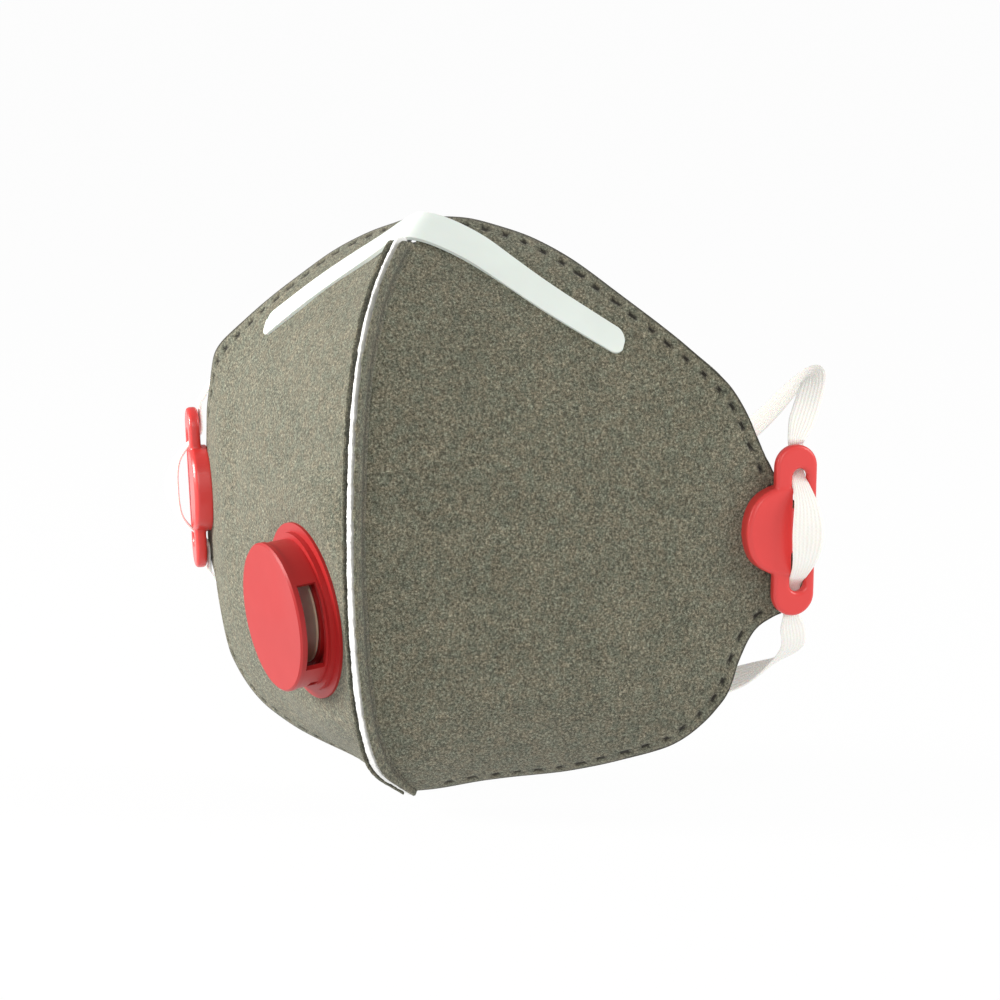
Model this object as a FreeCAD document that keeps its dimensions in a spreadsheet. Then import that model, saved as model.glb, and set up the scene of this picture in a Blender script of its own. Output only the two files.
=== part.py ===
import FreeCAD, Part
import math
import os

from FreeCAD import Matrix, Placement, Rotation, Vector

# Fold-flat half mask for dust, with an exhalation valve and a continuous head elastic.
# Frame: the front faces -Y, +Z is up and +X is the wearer's left.  The origin lies midway between the
# two ear tabs, on the plane the mask's edge meets the face at.  Everything is in millimetres.
doc = FreeCAD.newDocument("dust_mask")
sheet = doc.addObject("Spreadsheet::Sheet", "sizes")

SIZES = [
    # overall shape of the fabric
    ("half_width", 88.0),
    ("top_height", 77.5),
    ("bottom_drop", 66.8),
    ("mask_depth", 70.0),
    ("nose_depth", 36.5),
    ("chin_depth", 29.0),
    ("seam_root", 4.0),
    ("flange_width", 4.0),
    ("outer_thick", 0.8),
    ("filter_thick", 0.6),
    ("lining_thick", 0.3),
    ("layer_gap", 0.05),
    ("weld_thick", 1.7),
    # nose clip and foam
    ("clip_half_span", 52.0),
    ("clip_width", 5.6),
    ("clip_thick", 1.0),
    ("foam_half_span", 40.0),
    ("foam_width", 13.0),
    ("foam_thick", 4.0),
    # exhalation valve
    ("valve_side", 23.0),
    ("valve_drop", 21.0),
    ("valve_turn", 36.0),
    ("valve_tilt", 8.0),
    ("bore_radius", 11.6),
    ("seat_land", 2.0),
    ("flap_lap", 1.2),
    ("neck_wall", 3.4),
    ("cover_space", 7.4),
    ("step_margin", 1.2),
    ("step_height", 2.6),
    ("flange_margin", 2.3),
    ("flange_thick", 1.2),
    ("flap_thick", 0.5),
    ("cover_height", 10.2),
    ("cover_thick", 1.6),
    ("wall_thick", 1.4),
    ("backing_margin", 4.0),
    ("backing_thick", 1.5),
    # strap buckles
    ("pin_inset", 4.9),
    ("buckle_turn", 50.0),
    ("buckle_tilt", 3.0),
    ("ring_length", 43.0),
    ("ring_thick", 3.0),
    ("leg_inner", 4.4),
    ("leg_outer", 2.4),
    ("slot_length", 31.0),
    ("slot_width", 4.2),
    ("plate_length", 23.0),
    ("plate_reach", 11.8),
    ("plate_thick", 4.9),
    ("pin_radius", 1.5),
    ("disc_radius", 6.0),
    ("disc_thick", 1.5),
    # elastic
    ("strap_thick", 0.9),
    ("strap_cord", 2.7),
]
for row, (alias, value) in enumerate(SIZES, start=1):
    sheet.set(f"A{row}", alias)
    sheet.set(f"B{row}", str(value))
    sheet.setAlias(f"B{row}", alias)
doc.recompute()


def size(alias):
    return float(getattr(sheet, alias))


# Radii of the valve, each built up from the bore.
RADII = {
    "seat": ("bore_radius", "seat_land"),
    "flap": ("bore_radius", "flap_lap"),
    "neck": ("bore_radius", "neck_wall"),
    "backing": ("bore_radius", "neck_wall", "backing_margin"),
    "cover": ("bore_radius", "cover_space"),
    "step": ("bore_radius", "cover_space", "step_margin"),
    "flange": ("bore_radius", "cover_space", "step_margin", "flange_margin"),
}


def rule(name, more=""):
    """The radius as an expression on the sheet, with anything to be added to it."""
    return " + ".join("sizes." + alias for alias in RADII[name]) + more


def radius_of(name):
    return sum(size(alias) for alias in RADII[name])


W = size("half_width")
TOP = size("top_height")
DROP = size("bottom_drop")
DEPTH = size("mask_depth")

# ---------------------------------------------------------------- the fabric's shape
# Stations along the half width: how far the edge stands above or below the ear line, and how far behind
# the front ridge it lies, each as a share of the overall sizes.
TOP_EDGE = [(0, 1), (0.084, 0.993), (0.165, 0.968), (0.274, 0.929), (0.396, 0.865), (0.525, 0.774),
            (0.662, 0.671), (0.785, 0.568), (0.838, 0.516), (0.871, 0.465), (0.909, 0.361), (0.96, 0.173),
            (0.985, 0.115), (1.012, 0.065)]
TOP_BACK = [(0, 0), (0.05, 0.17), (0.1, 0.31), (0.165, 0.42), (0.24, 0.475), (0.328, 0.5), (0.456, 0.521),
            (0.596, 0.552), (0.724, 0.612), (0.838, 0.675), (0.909, 0.88), (1.0, 1.15), (1.08, 1.35)]
BOTTOM_EDGE = [(0, 1), (0.076, 0.986), (0.185, 0.958), (0.364, 0.928), (0.467, 0.898), (0.548, 0.868),
               (0.661, 0.82), (0.719, 0.778), (0.772, 0.719), (0.812, 0.659), (0.843, 0.595), (0.872, 0.475),
               (0.905, 0.368), (0.94, 0.32), (0.985, 0.285), (1.012, 0.24)]
BOTTOM_BACK = [(0, 0), (0.076, 0.08), (0.185, 0.27), (0.27, 0.43), (0.364, 0.55), (0.467, 0.615), (0.548, 0.66),
               (0.661, 0.765), (0.772, 0.835), (0.843, 0.885), (0.905, 0.96), (1.0, 1.2), (1.08, 1.35)]
TOP_REACH = 26.3      # edge depth gained between the nose and the side
BOTTOM_REACH = 34.3   # edge depth gained between the chin and the side


def smooth(stations, q):
    """Cubic through the stations with slopes taken from the neighbours, straight beyond the ends."""
    last = len(stations) - 1

    def slope(i):
        a, b = stations[max(i - 1, 0)], stations[min(i + 1, last)]
        return (b[1] - a[1]) / (b[0] - a[0])

    if q <= stations[0][0]:
        return stations[0][1] + slope(0) * (q - stations[0][0])
    if q >= stations[last][0]:
        return stations[last][1] + slope(last) * (q - stations[last][0])
    i = max(k for k in range(last) if stations[k][0] <= q)
    (q0, v0), (q1, v1) = stations[i], stations[i + 1]
    step = q1 - q0
    u = (q - q0) / step
    return (v0 * (1 + 2 * u) * (1 - u) ** 2 + v1 * u * u * (3 - 2 * u)
            + step * u * (1 - u) * (slope(i) * (1 - u) - slope(i + 1) * u))


def ramp(value, low, high):
    u = min(max((value - low) / (high - low), 0.0), 1.0)
    return u * u * (3 - 2 * u)


def edge_height(x, upper):
    if upper:
        return TOP * smooth(TOP_EDGE, x / W)
    return DROP * smooth(BOTTOM_EDGE, x / W)


def edge_depth(x, upper):
    if upper:
        return size("nose_depth") + TOP_REACH * DEPTH / 70.0 * smooth(TOP_BACK, x / W)
    return size("chin_depth") + BOTTOM_REACH * DEPTH / 70.0 * smooth(BOTTOM_BACK, x / W)


def middle_depth(x):
    """Depth of the panel on the ear line: an even slope that steepens towards the ear."""
    q = x / W
    return size("seam_root") + (DEPTH - size("seam_root")) * (0.733 * q + 0.267 * q ** 3)


def bulge(zeta, upper, x):
    """How a column of the panel runs from the middle (0) to the edge (1)."""
    q = min(max(x / W, 0.0), 1.0)
    share, power = (0.37, 5.0) if upper else (0.44, 8.0)
    power = power + (2.6 - power) * q ** 0.6
    return share * abs(zeta) ** 2.2 + (1 - share) * abs(zeta) ** power


EAR_SLOPE = math.tan(math.radians(size("buckle_turn")))
EAR_LEAN = math.tan(math.radians(size("buckle_tilt"))) / math.cos(math.radians(size("buckle_turn")))
PIN_X = W - size("pin_inset")
PIN_Z = 1.2


def ear_plane(x, z):
    return middle_depth(PIN_X) + EAR_SLOPE * (x - PIN_X) - EAR_LEAN * (z - PIN_Z)


VALVE_X = size("valve_side")
VALVE_Z = -size("valve_drop")
VALVE_DEPTH = middle_depth(VALVE_X) + 0.9
VALVE_SLOPE = math.tan(math.radians(size("valve_turn")))
VALVE_LEAN = math.tan(math.radians(size("valve_tilt"))) / math.cos(math.radians(size("valve_turn")))


def valve_plane(x, z):
    return VALVE_DEPTH + VALVE_SLOPE * (x - VALVE_X) - VALVE_LEAN * (z - VALVE_Z)


def depth(x, z, with_valve):
    """Depth of the outer surface behind the front ridge, for x measured outwards from the seam."""
    upper = z >= 0
    height = edge_height(x, upper)
    middle = middle_depth(x)
    value = middle + (edge_depth(x, upper) - middle) * bulge(z / height, upper, x)
    away = (z - PIN_Z) / 30.0 if z > PIN_Z else (PIN_Z - z) / 40.0
    flat = ramp(x, PIN_X - 24.0, PIN_X - 7.5) * (1.0 - ramp(away, 0.42, 1.0))
    value = value + (ear_plane(x, z) - value) * flat
    if with_valve:
        reach = math.hypot((x - VALVE_X) / math.cos(math.radians(size("valve_turn"))), z - VALVE_Z)
        held = 1.0 - ramp(reach, radius_of("flange") + 1.0, radius_of("flange") + 17.0)
        value = value + (valve_plane(x, z) - value) * held
    return value


def on_panel(x, z, offset, side):
    """Point on the panel, moved `offset` inwards along the surface normal.  side is +1 or -1."""
    with_valve = side < 0
    e = 0.02
    dx = (depth(x + e, z, with_valve) - depth(x - e, z, with_valve)) / (2 * e)
    dz = (depth(x, z + e, with_valve) - depth(x, z - e, with_valve)) / (2 * e)
    norm = math.sqrt(1 + dx * dx + dz * dz)
    px = x - offset * dx / norm
    py = depth(x, z, with_valve) + offset / norm - DEPTH
    pz = z - offset * dz / norm
    return Vector(side * px, py, pz)


def surface(points):
    face = Part.BSplineSurface()
    face.interpolate(points)
    return face


def slab(top_points, bottom_points):
    """Solid between two grids of points with the same rows and columns."""
    top, bottom = surface(top_points), surface(bottom_points)
    faces = [top.toShape(), bottom.toShape()]
    for first, second in ((top.uIso(0), bottom.uIso(0)), (top.uIso(1), bottom.uIso(1)),
                          (top.vIso(0), bottom.vIso(0)), (top.vIso(1), bottom.vIso(1))):
        faces.append(Part.makeRuledSurface(first.toShape(), second.toShape()))
    shell = Part.makeShell(faces)
    shell.sewShape()
    solid = Part.makeSolid(shell)
    if solid.Volume < 0:
        solid.reverse()
    return solid


TAB_END = W * 1.012
SEAM_HALF = size("weld_thick") / 2 + size("layer_gap")
BROAD_COLUMNS = 22
EAR_COLUMNS = 22
ROWS = 32


def panel_columns():
    """Where the panel is sampled across: evenly to the side, then closer together over the ear tab."""
    start, side_end = -3.0, 0.78 * W
    broad = [start + (side_end - start) * i / BROAD_COLUMNS for i in range(BROAD_COLUMNS)]
    return broad + [side_end + (TAB_END - side_end) * i / EAR_COLUMNS for i in range(EAR_COLUMNS + 1)]


def panel_grid(offset, side):
    grid = []
    for x in panel_columns():
        column = []
        for j in range(ROWS + 1):
            zeta = math.sin(math.pi * (j / ROWS - 0.5))
            column.append(on_panel(x, zeta * edge_height(x, zeta >= 0), offset, side))
        grid.append(column)
    return grid


def beyond_seam(side):
    """Everything on the other side of the seam's mid-plane, with the seam's own half thickness."""
    block = Part.makeBox(60, 200, 300, Vector(0, -140, -150))
    block.translate(Vector(SEAM_HALF - 60 if side > 0 else -SEAM_HALF, 0, 0))
    return block


def tilted_frame(x, y, z, turn, tilt, side):
    """Placement whose local Z is the outward normal and local Y points up the surface."""
    t, k = math.radians(turn), math.radians(tilt)
    normal = Vector(side * math.sin(t) * math.cos(k), -math.cos(t) * math.cos(k), -math.sin(k))
    up = Vector(side * math.sin(t) * math.sin(k), -math.cos(t) * math.sin(k), math.cos(k))
    right = up.cross(normal)
    matrix = Matrix(right.x, up.x, normal.x, x, right.y, up.y, normal.y, y,
                    right.z, up.z, normal.z, z, 0, 0, 0, 1)
    return Placement(matrix)


VALVE_FRAME = tilted_frame(-VALVE_X, VALVE_DEPTH - DEPTH, VALVE_Z, size("valve_turn"), size("valve_tilt"), -1)
BUCKLE_FRAME = {
    side: tilted_frame(side * PIN_X, middle_depth(PIN_X) - DEPTH, PIN_Z, size("buckle_turn"),
                       size("buckle_tilt"), side)
    for side in (1, -1)
}


def local_cylinder(frame, radius, low, high):
    tool = Part.makeCylinder(radius, high - low, Vector(0, 0, low))
    tool.Placement = frame
    return tool


def add_shape(name, shape):
    node = doc.addObject("Part::Feature", name)
    node.Label = name
    node.Shape = shape
    return node


# ---------------------------------------------------------------- front seam
def seam_line(reach, chin_reach):
    """Points in the mid-plane `reach` outside the panels' roots, chin to nose, drawn in at the chin."""
    points = []
    for j in range(41):
        zeta = -1 + 2 * j / 40
        upper = zeta >= 0
        z = zeta * edge_height(0, upper)
        points.append((depth(0, z, False), z))
    moved = []
    for k, (y, z) in enumerate(points):
        a, b = points[max(k - 1, 0)], points[min(k + 1, 40)]
        run = math.hypot(b[0] - a[0], b[1] - a[1])
        ny, nz = -(b[1] - a[1]) / run, (b[0] - a[0]) / run
        out = chin_reach + (reach - chin_reach) * ramp(k, 0, 7)
        moved.append(Vector(0, y + ny * out - DEPTH, z + nz * out))
    return moved


def seam_strip(x_from, x_to, front, back, top_share):
    """Flat strip standing on the seam, from `front` outside the panels' roots to `back` inside them."""
    ahead = seam_line(front, 0.9)
    behind = seam_line(-back, -back)
    count = int(len(ahead) * top_share)
    ahead, behind = ahead[:count], behind[:count]
    outer, inner = Part.BSplineCurve(), Part.BSplineCurve()
    outer.interpolate(ahead)
    inner.interpolate(behind)
    wire = Part.Wire([outer.toShape(), Part.makeLine(ahead[-1], behind[-1]),
                      inner.toShape(), Part.makeLine(behind[0], ahead[0])])
    strip = Part.Face(Part.Wire(Part.__sortEdges__(wire.Edges))).extrude(Vector(x_to - x_from, 0, 0))
    strip.translate(Vector(x_from, 0, 0))
    return strip


LAYERS = [("outer_panel", "outer_thick"), ("filter_layer", "filter_thick"), ("inner_lining", "lining_thick")]
FLANGE_TOP = 0.955


def largest(shape):
    return sorted(shape.Solids, key=lambda solid: -solid.Volume)[0]


for side, hand in ((1, "right"), (-1, "left")):
    start = 0.0
    for name, thick in LAYERS:
        end = start + size(thick)
        layer = largest(slab(panel_grid(start, side), panel_grid(end, side)).cut(beyond_seam(side)))
        low, high = sorted((side * SEAM_HALF, side * (SEAM_HALF + 0.6)))
        if name == "outer_panel":
            layer = largest(layer.fuse(seam_strip(low, high, size("flange_width"), 1.0, FLANGE_TOP)))
        else:
            layer = largest(layer.cut(seam_strip(low - 0.05, high + 0.05, size("flange_width"), 1.1, 1.0)))
        layer = largest(layer.cut(local_cylinder(BUCKLE_FRAME[side], size("pin_radius") + 0.05, -8, 8)))
        if side < 0:
            layer = largest(layer.cut(local_cylinder(VALVE_FRAME, radius_of("neck") + 0.1, -12, 12)))
        add_shape(f"{name}_{hand}", layer)
        start = end + size("layer_gap")

STACK = start - size("layer_gap")
add_shape("seam_weld", seam_strip(-size("weld_thick") / 2, size("weld_thick") / 2,
                                  size("flange_width") + 0.3, 3.0, FLANGE_TOP))


# ---------------------------------------------------------------- nose clip and nose foam
def arm_depth(x, z, round_radius, hug, touch):
    """Panel depth near the nose with the ridge rounded off; touch 1 meets the ridge at the middle."""
    side = 1 if x >= 0 else -1
    flat = depth(abs(x), z, side < 0)
    slope = (depth(4.0, z, False) - depth(0.0, z, False)) / 4.0
    rounded = math.sqrt(x * x + round_radius ** 2) - abs(x)
    return flat + slope * (rounded - touch * round_radius * math.exp(-(x / hug) ** 2))


def strip_along(half_span, width, height_of, low, high, columns, bend, round_end=0.0):
    """Bent strip following the panels.  low and high are offsets along the outward normal, and bend is
    the ridge's rounding radius, the reach of the rounding and how far it meets the ridge."""
    lower, upper = [], []
    for i in range(columns + 1):
        x = half_span * math.sin(math.pi * (i / columns - 0.5))
        near, far = [], []
        tip = max(0.0, (abs(x) - half_span + round_end) / round_end) if round_end else 0.0
        wide = width * math.sqrt(1 - 0.9 * tip * tip)
        for j in range(5):
            z = height_of(x) + wide * (j / 4 - 0.5)
            e = 0.05
            dx = (arm_depth(x + e, z, *bend) - arm_depth(x - e, z, *bend)) / (2 * e)
            dz = (arm_depth(x, z + e, *bend) - arm_depth(x, z - e, *bend)) / (2 * e)
            norm = math.sqrt(1 + dx * dx + dz * dz)
            base = Vector(x, arm_depth(x, z, *bend) - DEPTH, z)
            outward = Vector(dx / norm, -1 / norm, dz / norm)
            near.append(base + outward * low)
            far.append(base + outward * high)
        lower.append(near)
        upper.append(far)
    return slab(upper, lower)


def clip_height(x):
    """The clip's centre line runs a little below the top edge and falls away with it."""
    q = abs(x) / size("clip_half_span")
    return TOP * (0.965 - 0.405 * (math.sqrt(q * q + 0.012) - math.sqrt(0.012)))


def foam_height(x):
    return TOP * (0.86 - 0.3 * (abs(x) / size("foam_half_span")) ** 1.4 * 0.62)


clip = strip_along(size("clip_half_span"), size("clip_width"), clip_height, 0.25,
                   0.25 + size("clip_thick"), 56, (2.4, 13.0, 1.0), size("clip_width") * 0.4)
add_shape("nose_clip", clip)

foam = strip_along(size("foam_half_span"), size("foam_width"), foam_height, -STACK - 0.35 - size("foam_thick"),
                   -STACK - 0.35, 40, (7.0, 16.0, 0.45))
add_shape("nose_foam", foam)


# ---------------------------------------------------------------- parts drawn from the sheet
def primitive(kind, name, x=0.0, y=0.0, z="0", **rules):
    """Part primitive whose lengths are bound to the sheet; z may be a rule too."""
    item = doc.addObject(kind, name)
    item.Placement = Placement(Vector(x, y, 0), Rotation())
    for field, rule in rules.items():
        item.setExpression(field, rule)
    item.setExpression("Placement.Base.z", z)
    return item


def combine(kind, name, base, tools):
    if kind == "Part::Cut":
        tool = tools[0] if len(tools) == 1 else combine("Part::MultiFuse", name + "_tools", tools[0], tools[1:])
        item = doc.addObject("Part::Cut", name)
        item.Base = base
        item.Tool = tool
        return item
    item = doc.addObject("Part::MultiFuse", name)
    item.Shapes = [base] + tools
    return item


# Exhalation valve.  Local z = 0 is the outer fabric's face, +z points away from the wearer.
GAP = "sizes.layer_gap"
UNDER = "-4.6"
base_plate = primitive("Part::Cylinder", "plate", z=GAP, Radius=rule("flange"), Height="sizes.flange_thick")
base_step = primitive("Part::Cylinder", "step", z=GAP, Radius=rule("step"),
                      Height="sizes.step_height - sizes.layer_gap")
base_neck = primitive("Part::Cylinder", "neck", z=UNDER, Radius=rule("neck"), Height="5")
base_lip = primitive("Part::Cone", "lip", z="-4.6", Radius1=rule("neck", " - 0.4"),
                     Radius2=rule("neck", " + 0.35"), Height="0.8")
trough = primitive("Part::Cylinder", "trough", z="1.3", Radius=rule("cover", " - sizes.wall_thick - 1.6"),
                   Height="4")
seat_ring = primitive("Part::Cylinder", "seat", z="-0.6", Radius=rule("seat"), Height="sizes.step_height + 0.6")
bore = primitive("Part::Cylinder", "bore", z="-6", Radius="sizes.bore_radius", Height="12")
valve_solid = combine("Part::MultiFuse", "body_a", base_plate, [base_step, base_neck, base_lip])
valve_solid = combine("Part::Cut", "body_b", valve_solid, [trough])
valve_solid = combine("Part::MultiFuse", "body_c", valve_solid, [seat_ring])
valve_solid = combine("Part::Cut", "body_d", valve_solid, [bore])
ribs = []
for k in range(2):
    rib = doc.addObject("Part::Box", f"rib_{k}")
    rib.setExpression("Length", "2 * sizes.bore_radius + 1.4" if k == 0 else "1.4")
    rib.setExpression("Width", "1.4" if k == 0 else "2 * sizes.bore_radius + 1.4")
    rib.setExpression("Height", "1.8")
    rib.setExpression("Placement.Base.x", "-Length / 2")
    rib.setExpression("Placement.Base.y", "-Width / 2")
    rib.setExpression("Placement.Base.z", "-0.4")
    ribs.append(rib)
HINGE_Y = radius_of("flap") - 1.2
for k, x in enumerate((-6.6, 5.2)):
    post = doc.addObject("Part::Box", f"post_{k}")
    post.Length, post.Width = 1.4, 1.6
    post.setExpression("Height", "sizes.step_height + 1.9 + 0.3")
    post.Placement = Placement(Vector(x, HINGE_Y - 0.6, 0.3), Rotation())
    ribs.append(post)
keeper = doc.addObject("Part::Box", "keeper")
keeper.Length, keeper.Width, keeper.Height = 13.2, 1.6, 0.8
keeper.Placement = Placement(Vector(-6.6, HINGE_Y - 0.6, 0), Rotation())
keeper.setExpression("Placement.Base.z", "sizes.step_height + 1.4")
ribs.append(keeper)
valve_base = combine("Part::MultiFuse", "valve_base", valve_solid, ribs)

flap_disc = primitive("Part::Cylinder", "flap_disc", z="sizes.step_height + 0.3", Radius=rule("flap"),
                      Height="sizes.flap_thick")
flap_trim = doc.addObject("Part::Box", "flap_trim")
flap_trim.Length, flap_trim.Width, flap_trim.Height = 40, 10, 10
flap_trim.Placement = Placement(Vector(-20, HINGE_Y + 0.3, 0), Rotation())
flap_notches = [flap_trim]
for k, x in enumerate((-14.9, 4.9)):
    notch = doc.addObject("Part::Box", f"notch_{k}")
    notch.Length, notch.Width, notch.Height = 10, 4, 10
    notch.Placement = Placement(Vector(x, HINGE_Y - 1.2, 0), Rotation())
    flap_notches.append(notch)
flap_leaf = combine("Part::Cut", "flap_leaf", flap_disc, flap_notches)
flap_bead = doc.addObject("Part::Cylinder", "flap_bead")
flap_bead.setExpression("Radius", "sizes.flap_thick / 2 + 0.05")
flap_bead.Height = 9.8
flap_bead.Placement = Placement(Vector(-4.9, HINGE_Y + 0.3, 0), Rotation(Vector(0, 1, 0), 90))
flap_bead.setExpression("Placement.Base.z", "sizes.step_height + 0.3 + sizes.flap_thick / 2")
valve_diaphragm = combine("Part::MultiFuse", "valve_diaphragm", flap_leaf, [flap_bead])

cap_disc = primitive("Part::Cylinder", "cap", z="sizes.cover_height - sizes.cover_thick", Radius=rule("cover"),
                     Height="sizes.cover_thick - 0.5")
cap_top = primitive("Part::Cone", "cap_top", z="sizes.cover_height - 0.5", Radius1=rule("cover"),
                    Radius2=rule("cover", " - 0.5"), Height="0.5")
wall_outer = primitive("Part::Cylinder", "wall_outer", z="sizes.step_height + sizes.layer_gap",
                       Radius=rule("cover", " - 0.3"),
                       Height="sizes.cover_height - sizes.cover_thick - sizes.step_height")
wall_inner = primitive("Part::Cylinder", "wall_inner", z="sizes.step_height - 1",
                       Radius=rule("cover", " - 0.3 - sizes.wall_thick"),
                       Height="sizes.cover_height - sizes.cover_thick - sizes.step_height + 1")
cover_shell = combine("Part::MultiFuse", "shell_a", cap_disc, [cap_top, wall_outer])
cover_hollow = combine("Part::Cut", "shell_b", cover_shell, [wall_inner])
windows = []
WINDOWS = [(-40, 72), (148, 72), (-74, 12), (242, 12)]   # start angle and sweep, degrees
for k, (first, sweep) in enumerate(WINDOWS):
    window = doc.addObject("Part::Cylinder", f"window_{k}")
    window.Angle = sweep
    window.setExpression("Radius", rule("cover", " + 3"))
    window.setExpression("Height", "sizes.cover_height - sizes.cover_thick - sizes.step_height - "
                         + ("1.0" if sweep > 20 else "3.8"))
    window.Placement = Placement(Vector(0, 0, 0), Rotation(Vector(0, 0, 1), first))
    window.setExpression("Placement.Base.z", "sizes.step_height + 0.7")
    windows.append(window)
valve_cover = combine("Part::Cut", "valve_cover", cover_hollow, windows)

ring_outer = primitive("Part::Cylinder", "ring_outer", z="-4.6 + 0.85", Radius=rule("backing"),
                       Height="sizes.backing_thick")
ring_hole = primitive("Part::Cylinder", "ring_hole", z="-10", Radius=rule("neck", " + 0.05"), Height="20")
valve_backing_ring = combine("Part::Cut", "valve_backing_ring", ring_outer, [ring_hole])
for node in (valve_base, valve_diaphragm, valve_cover, valve_backing_ring):
    node.Placement = VALVE_FRAME

# Strap buckles.  Local z = 0 is the outer fabric's face, x runs along the tab and the pin stands at x = 0.
RING_AT = size("slot_width") / 2 + size("plate_reach") / 2 - 2.3   # pin to slot centre, along the tab
RING_MIDDLE = RING_AT + (size("leg_outer") - size("leg_inner")) / 2
RING_WIDTH = size("leg_inner") + size("slot_width") + size("leg_outer")
RING_BASE = 1.9


def racetrack(length, width, height, at):
    """Rounded-end bar or slot outline as a solid from z = 0, long side up the mask."""
    r, straight = width / 2, length / 2 - width / 2
    box = Part.makeBox(width, 2 * straight, height, Vector(at - r, -straight, 0))
    ends = [Part.makeCylinder(r, height, Vector(at, s * straight, 0)) for s in (1, -1)]
    return box.fuse(ends).removeSplitter()


def rounded_ring():
    """Oval ring of rounded stock round the slot."""
    ring = racetrack(size("ring_length"), RING_WIDTH, size("ring_thick"), RING_MIDDLE)
    ring = ring.cut(racetrack(size("slot_length"), size("slot_width"), size("ring_thick"), RING_AT))
    ring = ring.removeSplitter()
    rims = [e for e in ring.Edges if abs(e.BoundBox.ZLength) < 1e-6]
    ring = ring.makeFillet(min(size("leg_outer"), size("ring_thick")) * 0.4, rims)
    ring.translate(Vector(0, 0, RING_BASE))
    return ring


def d_plate(at):
    """Plate that lies on the tab: straight beside the slot, bowed on the side towards the seam."""
    half, reach = size("plate_length") / 2, size("plate_reach")
    edge_x = at - size("slot_width") / 2
    r = 3.4
    a, b = Vector(edge_x, half, 0), Vector(edge_x, -half, 0)
    bow = Part.BSplineCurve()
    bow.interpolate([Vector(edge_x - 1.2, half, 0), Vector(edge_x - 5.2, half - 0.9, 0),
                     Vector(edge_x - 9.6, half - r - 0.6, 0), Vector(edge_x - reach + 0.5, 3.8, 0),
                     Vector(edge_x - reach, 0, 0), Vector(edge_x - reach + 0.5, -3.8, 0),
                     Vector(edge_x - 9.6, -half + r + 0.6, 0), Vector(edge_x - 5.2, -half + 0.9, 0),
                     Vector(edge_x - 1.2, -half, 0)])
    wire = Part.Wire([Part.makeLine(a, bow.StartPoint), bow.toShape(), Part.makeLine(bow.EndPoint, b),
                      Part.makeLine(b, a)])
    plate = Part.Face(wire).extrude(Vector(0, 0, size("plate_thick")))
    rim = [e for e in plate.Edges if e.BoundBox.ZMin > size("plate_thick") - 1e-6]
    plate = plate.makeChamfer(0.9, [e for e in rim if e.Length > size("plate_length")][-1:])
    plate.translate(Vector(0, 0, 0.3))
    return plate


def buckle():
    slot_edge = RING_AT - size("slot_width") / 2
    half = size("plate_length") / 2
    neck = Part.makeBox(size("leg_inner") - 1.4, 2 * half + 2.0, 1.6, Vector(slot_edge - size("leg_inner") + 0.7,
                                                                     -half - 1.0, 2.2))
    bar = Part.makeBox(size("slot_width") + 2.4, 10.0, 1.6, Vector(slot_edge - 1.0, -5, 2.1))
    bump = Part.makeBox(2.4, 11.0, size("plate_thick") - 2.2, Vector(slot_edge - 1.0, -5.5, 2.1))
    pin = Part.makeCylinder(size("pin_radius"), 4.6, Vector(0, 0, -4.2))
    barb = Part.makeCone(size("pin_radius") - 0.4, size("pin_radius") + 0.3, 0.6, Vector(0, 0, -4.8))
    return largest(d_plate(RING_AT).fuse([rounded_ring(), neck, bar, bump, pin, barb]).removeSplitter())


def backing():
    disc = Part.makeCylinder(size("disc_radius"), size("disc_thick"), Vector(0, 0, -4.15))
    return disc.cut(Part.makeCylinder(size("pin_radius") + 0.05, 9, Vector(0, 0, -8)))


def filleted_path(points, radii):
    """Straight runs joined by arcs that touch them both."""
    edges, last = [], points[0]
    for i in range(1, len(points) - 1):
        before = (points[i - 1] - points[i]).normalize()
        after = (points[i + 1] - points[i]).normalize()
        half = before.getAngle(after) / 2
        radius = radii[i - 1]
        cut = radius / math.tan(half)
        enter, leave = points[i] + before * cut, points[i] + after * cut
        centre = points[i] + (before + after).normalize() * (radius / math.sin(half))
        middle = centre + (points[i] - centre).normalize() * radius
        edges.append(Part.LineSegment(last, enter).toShape())
        edges.append(Part.Arc(enter, middle, leave).toShape())
        last = leave
    edges.append(Part.LineSegment(last, points[-1]).toShape())
    return Part.Wire(edges)


LOOP_END = size("ring_length") / 2 + 1.2
LOOP_WIDTH = size("slot_width") - 0.2


def strap_loop():
    """Elastic threaded through the ring: behind its ends, out of the slot and over the bar."""
    low, rises, tops = 1.05, size("slot_length") / 2 - 2.3, size("slot_length") / 2 - 8.7
    spots = [(-LOOP_END, low), (-rises, low), (-tops, 8.0), (tops, 8.0), (rises, low), (LOOP_END, low)]
    points = [Vector(RING_AT, y, z) for y, z in spots]
    path = filleted_path(points, [1.9, 5.0, 5.0, 1.9])
    w, t = LOOP_WIDTH / 2, size("strap_thick") / 2
    profile = Part.makePolygon([Vector(RING_AT + a * w, -LOOP_END, low + b * t)
                                for a, b in ((-1, -1), (1, -1), (1, 1), (-1, 1), (-1, -1))])
    return path.makePipeShell([profile], True, True)


for side, hand in ((1, "right"), (-1, "left")):
    for name, shape in (("buckle", buckle()), ("buckle_backing", backing()), ("strap_loop", strap_loop())):
        if side < 0:
            shape = shape.mirror(Vector(0, 0, 0), Vector(1, 0, 0))
        node = add_shape(f"{name}_{hand}", shape)
        node.Placement = BUCKLE_FRAME[side]


# ---------------------------------------------------------------- headbands
def loop_end(side, up):
    """Where the threaded elastic leaves the buckle."""
    return BUCKLE_FRAME[side].multVec(Vector(side * RING_AT, up * (LOOP_END + 1.1), 1.05))


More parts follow.
